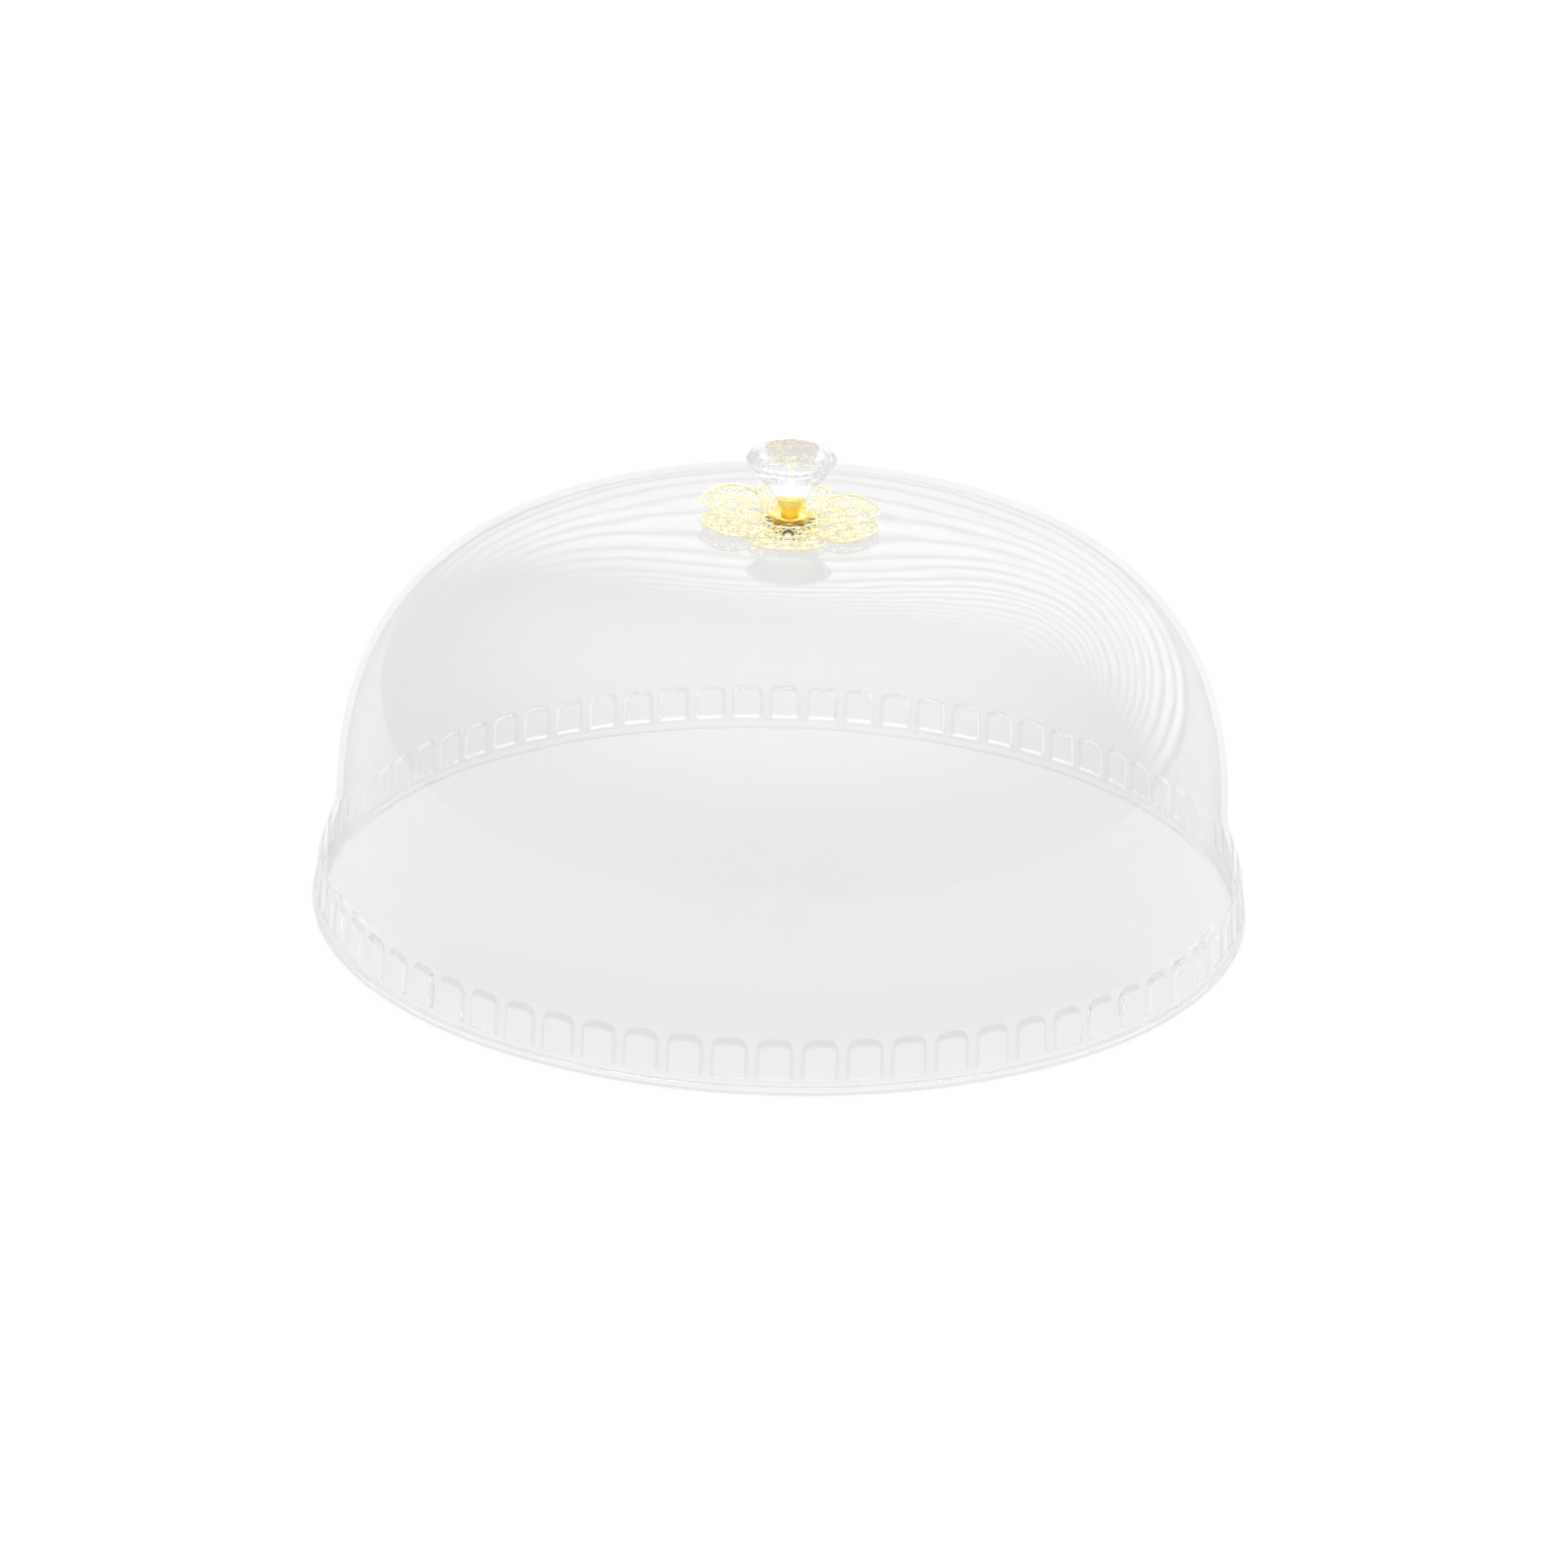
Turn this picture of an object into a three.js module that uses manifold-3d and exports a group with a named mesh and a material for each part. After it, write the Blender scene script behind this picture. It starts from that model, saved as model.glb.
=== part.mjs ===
// Clear domed cake cover, lifted by a faceted crystal knob on a gold post over an openwork gold flower.
// Millimetres, +Z up. The origin is the centre of the rim's underside, which stands on the table.
// The dome is turned on the Z axis, and the knob's parts are stacked on its crown along the same axis.

import * as THREE from 'three';
import { ConvexGeometry } from 'three/addons/geometries/ConvexGeometry.js';
import { mergeGeometries, mergeVertices } from 'three/addons/utils/BufferGeometryUtils.js';
import Module from 'manifold-3d';

const wasm = await Module();
wasm.setup();

// Driving dimensions of the dome's body
const crownHeight = 125.5;
const wallRadius = 142.2;
const wallThickness = 2.2;
const shoulderFoot = 27.5;
const sideSquareness = 3.36;
const crownSquareness = 2.52;

// The foot: the wall flares out to a fluted band, which stands on a flanged rim
const flareHeight = 31.3;
const flareBend = 3.7;
const bandTop = 17;
const bandTopRadius = 146.8;
const bandFootRadius = 148;
const rimRadius = 150;
const rimThickness = 2.6;
const rimChamfer = 0.5;

// The flutes: arched pads that stand out from the band side by side
const fluteCount = 70;
const fluteGap = 2.5;
const fluteFoot = 4;
const fluteRise = 1.1;
const fluteBevel = 0.9;
const fluteArch = 4.4;
const archSquareness = 2.6;

// The knob's screw, an M4 pan head, and the hole for it in every piece that it passes through
const screwRadius = 2;
const screwLength = 12;
const screwTip = 0.6;
const screwHeadRadius = 4;
const screwHeadHeight = 3.1;
const screwHeadRound = 1.2;
const recessLength = 4.4;
const recessWidth = 1.2;
const recessDepth = 1.7;
const screwClearance = 0.4;
const screwHole = screwRadius + screwClearance;

// The washers above and below the crown, which is flat a little past them
const outerGasketRadius = 8;
const outerGasketThickness = 0.8;
const innerGasketRadius = 9;
const innerGasketThickness = 1.2;
const steelWasherRadius = 6;
const steelWasherThickness = 1;
const seatMargin = 3;
const seatRadius = Math.max(outerGasketRadius, innerGasketRadius) + seatMargin;

// The flower: a thin plate with six broad petals, pierced, with their ends curled up
const petalCount = 6;
const petalReach = 29.5;
const petalTurn = THREE.MathUtils.degToRad(-32);
const flowerHub = 9;
const flowerThickness = 0.8;
const flowerCurl = 2.6;

// The cap at the post's foot: six small lobes that curl up between the petals
const capReach = 7.4;
const capHub = 4.6;
const capThickness = 0.8;
const capCurl = 1.4;
const capTurn = petalTurn + Math.PI / petalCount;

// The post: tapered, thicker at the top, where the crystal is glued over it
const postLength = 8.4;
const postFootRadius = 3.1;
const postTopRadius = 3.75;
const postChamfer = 0.4;
const glueGap = 0.3;

// The crystal: a flat table, a sloping crown, a girdle, an underside that tapers in three steps, and a
// neck with a socket for the post. Drops are measured down from the girdle or the table.
const crystalHeight = 17.7;
const crystalFacets = 12;
const tableRadius = 8.8;
const girdleRadius = 14.3;
const girdleWidth = 0.7;
const crownRise = 3.4;
const starRadius = 12.6;
const starDrop = 1.2;
const beltRadius = 12.2;
const beltDrop = 4.2;
const waistRadius = 9.6;
const waistDrop = 6.6;
const neckRadius = 5.1;
const neckLength = 4.8;
const socketDepth = 4.3;

// How finely curves are divided, and how far a cutter runs past what it cuts
const shoulderSteps = 9;
const bendSteps = 3;
const archSteps = 5;
const petalSteps = 6;
const holeSteps = 8;
const turnedSteps = 24;
const overrun = 1;

// Materials
const clearPlastic = new THREE.MeshStandardMaterial({ color: 0xeef0f0, roughness: 0.06, metalness: 0 });
const crystal = new THREE.MeshStandardMaterial({ color: 0xf6f7fa, roughness: 0.02, metalness: 0 });
const gold = new THREE.MeshStandardMaterial({ color: 0xe0a92c, roughness: 0.22, metalness: 1 });
const paleGold = new THREE.MeshStandardMaterial({ color: 0xe6cf6a, roughness: 0.25, metalness: 1 });
const silicone = new THREE.MeshStandardMaterial({ color: 0xe4e6e6, roughness: 0.5, metalness: 0 });
const steel = new THREE.MeshStandardMaterial({ color: 0xb9bcc0, roughness: 0.3, metalness: 1 });

// A closed mesh as a solid that can be cut and joined
function solidFrom(geometry) {
  const bare = geometry.clone();
  bare.deleteAttribute('normal');
  bare.deleteAttribute('uv');
  const merged = mergeVertices(bare);
  const vertProperties = new Float32Array(merged.attributes.position.array);
  const triVerts = new Uint32Array(merged.index.array);
  return new wasm.Manifold(new wasm.Mesh({ numProp: 3, vertProperties, triVerts }));
}

// A solid's surface as a mesh again
function geometryFrom(solid) {
  const mesh = solid.getMesh();
  const geometry = new THREE.BufferGeometry();
  geometry.setAttribute('position', new THREE.BufferAttribute(mesh.vertProperties, 3));
  geometry.setIndex(new THREE.BufferAttribute(mesh.triVerts, 1));
  geometry.computeVertexNormals();
  return geometry;
}

// A turned body: the outline holds [radius, height] pairs, up the outside and down the inside
function turned(outline, steps = turnedSteps, start = 0) {
  const points = outline.map(([radius, height]) => new THREE.Vector2(radius, height));
  return new THREE.LatheGeometry(points, steps, start).rotateX(Math.PI / 2);
}

// A flat ring that lies on the plane z = 0
function ring(radius, thickness) {
  return turned([
    [screwHole, 0],
    [radius, 0],
    [radius, thickness],
    [screwHole, thickness],
    [screwHole, 0],
  ]);
}

// A place given by its distance from the axis and its angle
function polar(radius, angle) {
  return new THREE.Vector2(radius * Math.cos(angle), radius * Math.sin(angle));
}

// Plates with petals

// The shares that shape a petal: how far out its curve's first handle lies, how far the two handles
// lie to the side, and how much of its sixth of the circle it fills at its root
const petalShares = { shoulderOut: 0.81, shoulderSide: 0.47, tipSide: 0.34, root: 0.9 };

// The outline of one petal along the X axis. Each side is a curve, and the two meet at the tip.
function petalOutline(reach, hub) {
  const shape = new THREE.Shape();
  const root = polar(hub, (petalShares.root * Math.PI) / petalCount);
  const shoulderOut = petalShares.shoulderOut * reach;
  const shoulderSide = petalShares.shoulderSide * reach;
  const tipSide = petalShares.tipSide * reach;
  shape.moveTo(root.x, -root.y);
  shape.bezierCurveTo(shoulderOut, -shoulderSide, reach, -tipSide, reach, 0);
  shape.bezierCurveTo(reach, tipSide, shoulderOut, shoulderSide, root.x, root.y);
  return shape;
}

// An oval hole in a petal
function oval(out, side, alongRadius, acrossRadius, angle) {
  const points = [];
  for (let step = 0; step < holeSteps; step += 1) {
    const turn = (step * 2 * Math.PI) / holeSteps;
    const point = new THREE.Vector2(alongRadius * Math.cos(turn), acrossRadius * Math.sin(turn));
    points.push(point.rotateAround(new THREE.Vector2(), angle).add(new THREE.Vector2(out, side)));
  }
  return new THREE.Path(points);
}

// A plate of petals round a flat hub with a hole for the screw. Past the hub a petal rises with the
// square of the distance.
function petalPlate(outline, hub, reach, thickness, curl, turn) {
  const petal = new THREE.ExtrudeGeometry(outline, {
    depth: thickness,
    bevelEnabled: false,
    curveSegments: petalSteps,
  });
  const position = petal.attributes.position;
  for (let index = 0; index < position.count; index += 1) {
    const out = Math.hypot(position.getX(index), position.getY(index));
    const share = Math.max(out - hub, 0) / (reach - hub);
    position.setZ(index, position.getZ(index) + curl * share ** 2);
  }
  const petals = [];
  for (let index = 0; index < petalCount; index += 1) {
    petals.push(petal.clone().rotateZ(turn + (index * 2 * Math.PI) / petalCount));
  }
  return geometryFrom(solidFrom(ring(hub, thickness)).add(solidFrom(mergeGeometries(petals))));
}

// The dome

// A place on the dome's shoulder, a rounded square of two powers, at an angle from the crown
function shoulderPoint(angle, inset) {
  const out = (wallRadius - inset) * Math.sin(angle) ** (2 / sideSquareness);
  const rise = (crownHeight - inset - shoulderFoot) * Math.cos(angle) ** (2 / crownSquareness);
  return [out, shoulderFoot + rise];
}

// One face of the dome's wall from the flat of the crown down to the band's foot. The inset is zero
// outside and the wall's thickness inside.
function wallLine(inset, foot) {
  const points = [];
  const wall = new THREE.Vector2(wallRadius - inset, flareHeight);
  const bandEdge = new THREE.Vector2(bandTopRadius - inset, bandTop);
  const bendStart = new THREE.Vector2(wall.x, flareHeight + flareBend);
  const bendEnd = wall.clone().add(bandEdge.clone().sub(wall).setLength(flareBend));
  const upright = (bendStart.y - shoulderFoot) / (crownHeight - inset - shoulderFoot);
  const first = Math.asin((seatRadius / wall.x) ** (sideSquareness / 2));
  const last = Math.acos(upright ** (crownSquareness / 2));
  points.push([screwHole, crownHeight - inset], [seatRadius, crownHeight - inset]);
  for (let step = 1; step < shoulderSteps; step += 1) {
    points.push(shoulderPoint(first + ((last - first) * step) / shoulderSteps, inset));
  }
  const bend = new THREE.QuadraticBezierCurve(bendStart, wall, bendEnd);
  bend.getPoints(bendSteps).forEach((point) => points.push([point.x, point.y]));
  points.push([bandEdge.x, bandEdge.y], [bandFootRadius - inset, foot]);
  return points;
}

// The dome's wall with its rim, turned so that each flute stands on the middle of a flat
function domeShell() {
  const outside = wallLine(0, rimThickness).reverse();
  const inside = wallLine(wallThickness, 0);
  const rim = [
    [rimRadius - rimChamfer, 0],
    [rimRadius, rimChamfer],
    [rimRadius, rimThickness - rimChamfer],
    [rimRadius - rimChamfer, rimThickness],
  ];
  const outline = [...rim, ...outside, ...inside, rim[0]];
  return turned(outline, fluteCount, Math.PI / fluteCount);
}

// One flute: an arched pad on the band, square at its foot, with sides and top that slope in towards
// its face. Its root is sunk into the band by half of its rise.
function flute() {
  const lean = Math.atan2(bandFootRadius - bandTopRadius, bandTop - rimThickness);
  const sunk = fluteRise / 2;
  const rootSpread = fluteBevel * sunk / fluteRise;
  const halfWidth = Math.PI * bandTopRadius / fluteCount - fluteGap / 2 + rootSpread;
  const height = (bandTop - fluteFoot) / Math.cos(lean) + rootSpread;
  const shape = new THREE.Shape();
  shape.moveTo(-halfWidth, 0);
  shape.lineTo(halfWidth, 0);
  for (let step = 0; step <= archSteps; step += 1) {
    const turn = (step * Math.PI) / archSteps;
    const side = Math.sign(Math.cos(turn)) * Math.abs(Math.cos(turn)) ** (2 / archSquareness);
    const rise = Math.abs(Math.sin(turn)) ** (2 / archSquareness);
    shape.lineTo(halfWidth * side, height - fluteArch + fluteArch * rise);
  }
  const depth = sunk + fluteRise;
  const pad = new THREE.ExtrudeGeometry(shape, { depth, bevelEnabled: false });
  const position = pad.attributes.position;
  for (let index = 0; index < position.count; index += 1) {
    const slope = (fluteBevel + rootSpread) * position.getZ(index) / depth;
    position.setX(index, position.getX(index) * (1 - slope / halfWidth));
    position.setY(index, position.getY(index) * (1 - slope / height));
  }
  const bandAtFoot = bandFootRadius - (fluteFoot - rimThickness) * Math.tan(lean);
  const flat = Math.cos(Math.PI / fluteCount);
  return pad.translate(0, 0, -sunk).rotateX(Math.PI / 2 - lean).translate(0, -bandAtFoot * flat, fluteFoot);
}

function dome() {
  const pad = flute();
  const pads = [];
  for (let index = 0; index < fluteCount; index += 1) {
    pads.push(pad.clone().rotateZ((index * 2 * Math.PI) / fluteCount));
  }
  return geometryFrom(solidFrom(domeShell()).add(solidFrom(mergeGeometries(pads))));
}

// The knob

// The holes in one petal, a table of shares of the petal's reach: how far out, how far to the side,
// the half length along the petal, the half width across it, and the angle to the petal in degrees.
// A hole that lies to the side has a mirrored twin.
const holeShares = [
  { out: 0.434, side: 0, along: 0.068, across: 0.031, angle: 0 },
  { out: 0.661, side: 0, along: 0.108, across: 0.047, angle: 0 },
  { out: 0.925, side: 0, along: 0.034, across: 0.054, angle: 0 },
  { out: 0.563, side: 0.136, along: 0.102, across: 0.037, angle: 27 },
  { out: 0.756, side: 0.224, along: 0.068, across: 0.037, angle: 27 },
  { out: 0.834, side: 0.108, along: 0.05, across: 0.047, angle: -20 },
  { out: 0.6, side: 0.242, along: 0.027, across: 0.027, angle: 0 },
];

function flower() {
  const shape = petalOutline(petalReach, flowerHub);
  for (const hole of holeShares) {
    for (const hand of hole.side === 0 ? [1] : [1, -1]) {
      const [out, side] = [hole.out * petalReach, hole.side * hand * petalReach];
      const angle = hand * THREE.MathUtils.degToRad(hole.angle);
      shape.holes.push(oval(out, side, hole.along * petalReach, hole.across * petalReach, angle));
    }
  }
  return petalPlate(shape, flowerHub, petalReach, flowerThickness, flowerCurl, petalTurn);
}

function rosetteCap() {
  return petalPlate(petalOutline(capReach, capHub), capHub, capReach, capThickness, capCurl, capTurn);
}

// The post, with a blind hole for the screw's end
function post(boreDepth) {
  return turned([
    [0, boreDepth],
    [screwHole, boreDepth],
    [screwHole, 0],
    [postFootRadius, 0],
    [postTopRadius, postLength - postChamfer],
    [postTopRadius - postChamfer, postLength],
    [0, postLength],
  ]);
}

// A ring of corners of the crystal, turned by a share of one facet
function corners(radius, height, count, turnShare) {
  const points = [];
  for (let index = 0; index < count; index += 1) {
    const point = polar(radius, ((index + turnShare) * 2 * Math.PI) / count);
    points.push(new THREE.Vector3(point.x, point.y, height));
  }
  return points;
}

// A many-sided prism that stands on the plane z = bottom
function prism(radius, sides, bottom, height) {
  const body = new THREE.CylinderGeometry(radius, radius, height, sides, 1, false, Math.PI / 2);
  return body.rotateX(Math.PI / 2).translate(0, 0, bottom + height / 2);
}

// The crystal, from the bottom of its neck at z = 0, with a socket for the post
function crystalKnob() {
  const girdle = crystalHeight - crownRise - girdleWidth / 2;
  const head = new ConvexGeometry([
    ...corners(tableRadius, crystalHeight, crystalFacets, 0),
    ...corners(starRadius, crystalHeight - starDrop, crystalFacets, 1 / 2),
    ...corners(girdleRadius, girdle + girdleWidth / 2, crystalFacets * 2, 0),
    ...corners(girdleRadius, girdle - girdleWidth / 2, crystalFacets * 2, 0),
    ...corners(beltRadius, girdle - beltDrop, crystalFacets, 1 / 2),
    ...corners(waistRadius, girdle - waistDrop, crystalFacets, 0),
    ...corners(neckRadius, neckLength, crystalFacets, 0),
  ]);
  const neck = prism(neckRadius, crystalFacets, 0, neckLength + overrun);
  const socket = prism(postTopRadius + glueGap, turnedSteps, -overrun, socketDepth + overrun);
  return geometryFrom(solidFrom(head).add(solidFrom(neck)).subtract(solidFrom(socket)));
}

// The screw, from its bearing face at z = 0, with a cross recess in its head
function screw() {
  const body = turned([
    [0, -screwHeadHeight],
    [screwHeadRadius - screwHeadRound, -screwHeadHeight],
    [screwHeadRadius, screwHeadRound - screwHeadHeight],
    [screwHeadRadius, 0],
    [screwRadius, 0],
    [screwRadius, screwLength - screwTip],
    [screwRadius - screwTip, screwLength],
    [0, screwLength],
  ]);
  const depth = recessDepth + overrun;
  const middle = recessDepth - screwHeadHeight - depth / 2;
  const slot = new THREE.BoxGeometry(recessLength, recessWidth, depth).translate(0, 0, middle);
  const crossSlot = slot.clone().rotateZ(Math.PI / 2);
  return geometryFrom(solidFrom(body).subtract(solidFrom(slot)).subtract(solidFrom(crossSlot)));
}

// Assembly: everything above the crown is stacked upwards from it, and the rest hangs from the inside

const cover = new THREE.Group();

function place(name, geometry, material, height) {
  const mesh = new THREE.Mesh(geometry, material);
  mesh.name = name;
  mesh.position.z = height;
  cover.add(mesh);
}

const flowerLevel = crownHeight + outerGasketThickness;
const capLevel = flowerLevel + flowerThickness;
const postLevel = capLevel + capThickness;
const innerGasketLevel = crownHeight - wallThickness - innerGasketThickness;
const screwLevel = innerGasketLevel - steelWasherThickness;
const boreDepth = screwLevel + screwLength + screwClearance - postLevel;
const crystalLevel = postLevel + postLength + glueGap - socketDepth;

place('dome_cover', dome(), clearPlastic, 0);
place('outer_gasket', ring(outerGasketRadius, outerGasketThickness), silicone, crownHeight);
place('filigree_flower', flower(), paleGold, flowerLevel);
place('rosette_cap', rosetteCap(), gold, capLevel);
place('knob_post', post(boreDepth), gold, postLevel);
place('crystal_knob', crystalKnob(), crystal, crystalLevel);
place('inner_gasket', ring(innerGasketRadius, innerGasketThickness), silicone, innerGasketLevel);
place('steel_washer', ring(steelWasherRadius, steelWasherThickness), steel, screwLevel);
place('knob_screw', screw(), steel, screwLevel);

export default cover;
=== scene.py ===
# %% [markdown]
# # A clear cake cover with a crystal knob
#
# The cover is one clear moulding: a dome whose wall flares out at its foot into a band of 70 arched
# flutes and a flanged rim. On top stands a cut crystal knob on a short gold post, over a small gold
# rosette and an openwork flower with six petals. A screw holds them, driven up from inside the dome.
#
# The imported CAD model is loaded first, as a frame that never moves. It gives every piece its place, and
# the box that it has to fill. The pieces below are finer versions of its solids.

# %% Load the frame
import math

import bmesh
import bpy
from mathutils import Matrix, Vector


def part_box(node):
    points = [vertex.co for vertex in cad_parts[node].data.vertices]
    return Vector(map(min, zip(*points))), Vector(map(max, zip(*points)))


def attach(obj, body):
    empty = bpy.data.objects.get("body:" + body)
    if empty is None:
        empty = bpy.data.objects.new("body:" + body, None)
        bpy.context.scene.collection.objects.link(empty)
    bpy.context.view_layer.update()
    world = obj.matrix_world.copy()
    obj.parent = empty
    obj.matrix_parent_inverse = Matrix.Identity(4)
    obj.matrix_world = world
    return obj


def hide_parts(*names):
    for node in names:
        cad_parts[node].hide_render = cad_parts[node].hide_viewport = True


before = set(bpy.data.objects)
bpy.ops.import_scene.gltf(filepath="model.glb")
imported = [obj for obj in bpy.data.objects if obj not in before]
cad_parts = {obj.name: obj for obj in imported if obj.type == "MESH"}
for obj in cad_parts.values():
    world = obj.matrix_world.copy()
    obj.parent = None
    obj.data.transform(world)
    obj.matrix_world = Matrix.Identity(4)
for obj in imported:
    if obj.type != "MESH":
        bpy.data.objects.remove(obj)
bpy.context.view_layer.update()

# %% [markdown]
# ## The camera
#
# A long lens, 1.4 metres away and 21.5 degrees above the table. The place, the focal length and the
# slight roll come from fitting the rim, the flutes, the dome's outline and the knob to the photograph.
# They are given as a photographer's numbers, and the three axes of the camera are built from them.

# %% Set up the camera
# in pixels of the photograph: its side, the focal length, and the row that the camera's aim falls on
PICTURE, FOCAL_PIXELS, AIM_ROW = 1600, 4541, 747
DISTANCE, AIM = 1.417, Vector((0, 0, 0.055))
ELEVATION, ROLL = math.radians(21.52), math.radians(1.63)
SENSOR = 36


def linked(name, data):
    """A new object in the scene, round a camera, a mesh or a curve."""
    made = bpy.data.objects.new(name, data)
    bpy.context.scene.collection.objects.link(made)
    return made


back = Vector((0, -math.cos(ELEVATION), math.sin(ELEVATION)))
level = Vector((1, 0, 0))
upright = back.cross(level)
across = math.cos(ROLL) * level + math.sin(ROLL) * upright
up = math.cos(ROLL) * upright - math.sin(ROLL) * level
camera_turn = Matrix((across, up, back)).transposed().to_4x4()

lens = bpy.data.cameras.new("camera")
lens.sensor_width = SENSOR
lens.lens = SENSOR * FOCAL_PIXELS / PICTURE
lens.shift_y = (AIM_ROW - PICTURE / 2) / PICTURE
camera = linked("camera", lens)
camera.matrix_world = Matrix.Translation(AIM + DISTANCE * back) @ camera_turn
bpy.context.scene.camera = camera
print("lens %.1f mm, shift %.3f" % (lens.lens, lens.shift_y))

# %% [markdown]
# ## Writing shader maths as Python
#
# A material is a tree of nodes. Adding and linking each node by hand hides the idea behind a formula, so
# one small class wraps a node's output, and sums written on it add the Math nodes. A second class holds
# the tree, with one method that adds any other node, and short names for the few that most finishes
# share.

# %% A wrapped socket, and the tree it lives in
class Socket:
    """The output of a node. Sums on it become Math nodes."""

    def __init__(self, tree, socket):
        self.tree = tree
        self.socket = socket

    def __add__(self, other):
        return self.tree.math("ADD", self, other)

    def __sub__(self, other):
        return self.tree.math("SUBTRACT", self, other)

    def __mul__(self, other):
        return self.tree.math("MULTIPLY", self, other)

    def __rsub__(self, other):
        return self.tree.math("SUBTRACT", other, self)

    __radd__ = __add__
    __rmul__ = __mul__


class Tree:
    """A node tree, emptied, with one method that adds a node of any type."""

    def __init__(self, owner):
        owner.use_nodes = True
        self.nodes = owner.node_tree.nodes
        self.links = owner.node_tree.links
        self.nodes.clear()

    def node(self, kind, settings=None, sockets=None, output=0):
        """Adds a node: first its settings, then the values and links of its sockets."""
        made = self.nodes.new("ShaderNode" + kind)
        for name, value in (settings or {}).items():
            if name == "stops":
                while len(made.color_ramp.elements) < len(value):
                    made.color_ramp.elements.new(0.5)
                for stop, (position, colour) in zip(made.color_ramp.elements, value):
                    stop.position = position
                    stop.color = (*colour, 1)
            else:
                setattr(made, name, value)
        for name, value in (sockets or {}).items():
            if isinstance(value, Socket):
                self.links.new(value.socket, made.inputs[name])
            else:
                made.inputs[name].default_value = value
        return Socket(self, made.outputs[output]) if made.outputs else None

    def math(self, operation, *values):
        return self.node("Math", {"operation": operation}, dict(enumerate(values)))

    def slant(self):
        """0 where a face is seen straight on, and 1 where it is seen edge on."""
        return self.node("LayerWeight", sockets={"Blend": 0.5}, output="Facing")

    def smooth_step(self, value, low, high):
        """0 below the low value, 1 above the high one, with a soft step between."""
        limits = {"Value": value, "From Min": low, "From Max": high}
        return self.node("MapRange", {"interpolation_type": "SMOOTHSTEP"}, limits)

    def noise(self, scale, detail=2):
        """Noise on object coordinates, from 0 to 1, with `scale` features to a metre."""
        sockets = {"Vector": self.node("TexCoord", output="Object"), "Scale": scale, "Detail": detail}
        return self.node("TexNoise", sockets=sockets, output="Fac")


# %% [markdown]
# ## One way to make a finish
#
# Every finish is one Principled shader. Its constants go straight on the sockets, and only what varies
# over the surface comes from nodes.
#
# Clear pieces need one thing more. A ray that only carries light to the table can't follow the bends
# through a wall, so for such rays a face acts as a flat tinted film, and so it does for a ray that was
# mirrored inside the wall too often to matter. A moulded piece has two more films: an untinted one in
# place of the mirroring on a wall's inside, and a grey one where the wall is seen nearly edge on. A real
# moulding is a little hazy there, so a flute shows as a soft tone and the dome's outline as a grey edge,
# where perfect glass would have hard black and white lines.

# %% Films for the clear pieces
# the bounces after which a film takes over, and the most films that a ray may pass
MOST_BOUNCES, FILM_BOUNCES = 18, 48
# the slants between which the inner and the edge film set in, from 0 straight on to 1 edge on
INNER_SLANTS, EDGE_SLANTS = (0.2, 0.35), (0.55, 0.9)
UNTINTED, EDGE_SHARE, EDGE_TINT = (1, 1, 1), 0.85, (0.895, 0.895, 0.895)


def with_films(tree, shader, tint, moulded):
    """The shader, with flat films in its place where its bends and mirrorings would do harm."""
    shadow, diffuse, depth = (
        tree.node("LightPath", output=name) for name in ("Is Shadow Ray", "Is Diffuse Ray", "Ray Depth")
    )
    films = [(shadow + diffuse + tree.math("GREATER_THAN", depth, MOST_BOUNCES), tint)]
    if moulded:
        backface = tree.node("NewGeometry", output="Backfacing")
        inner = backface * tree.smooth_step(tree.slant(), *INNER_SLANTS)
        edge = EDGE_SHARE * tree.smooth_step(tree.slant(), *EDGE_SLANTS)
        films = [(inner, UNTINTED), (edge, EDGE_TINT)] + films
    for share, colour in films:
        film = tree.node("BsdfTransparent", sockets={"Color": (*colour, 1)})
        shader = tree.node("MixShader", sockets={0: share, 1: shader, 2: film})
    return shader


# %% One function for every finish
def new_finish(name, constants, colour=None, roughness=None, grain=None, film=None, moulded=False):
    """A material: constants, functions of a tree for the colour and roughness that vary, the scale, detail
    and depth in metres of its grain, and the tint of a clear piece's film."""
    material = bpy.data.materials.new(name)
    tree = Tree(material)
    sockets = dict(constants)
    if colour:
        sockets["Base Color"] = colour(tree)
    if roughness:
        sockets["Roughness"] = roughness(tree)
    if grain:
        scale, detail, depth = grain
        bump = {"Height": tree.noise(scale, detail), "Distance": depth, "Strength": 1}
        sockets["Normal"] = tree.node("Bump", sockets=bump)
    shader = tree.node("BsdfPrincipled", sockets=sockets)
    if film:
        shader = with_films(tree, shader, film, moulded)
    tree.node("OutputMaterial", sockets={"Surface": shader})
    print("finish %s: %d nodes" % (name, len(tree.nodes)))
    return material


# %% [markdown]
# ## Clear plastic and cut crystal
#
# The dome is thick clear acrylic, glossy on both faces. It needs true refraction, because the flutes are
# seen only by how they bend what is behind them. A moulded face is never as flat as glass, so a slow,
# shallow wave runs over it, and the gloss changes a little where the plastic cooled. The plastic takes a
# little of the light. On top of that, its colour is painted darker on the slopes of a flute, as painted
# shade, and painted lighter on a flute's flat face and on the rim, as painted light. The mesh of the dome
# carries this as an attribute: 1 on the steepest slope, 0 on the plain wall, and below 0 on the flat face
# and the rim. Cut crystal bends light more strongly, and has no wave, because its facets are ground.

# %% The clear plastic
# painted light on a flute's flat face, the plastic's own tint on the plain wall, and painted shade on the
# steep slopes
FLAT_FACE_PAINTED_LIGHT, PLAIN_WALL, STEEP_SLOPE_PAINTED_SHADE = (0.93, 0.93, 0.93), (0.85, 0.852, 0.85), (0.68, 0.69, 0.64)
SEEN_EDGE_ON, EDGE_ON_POWER = (0.75, 0.75, 0.75, 1), 2.2


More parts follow.
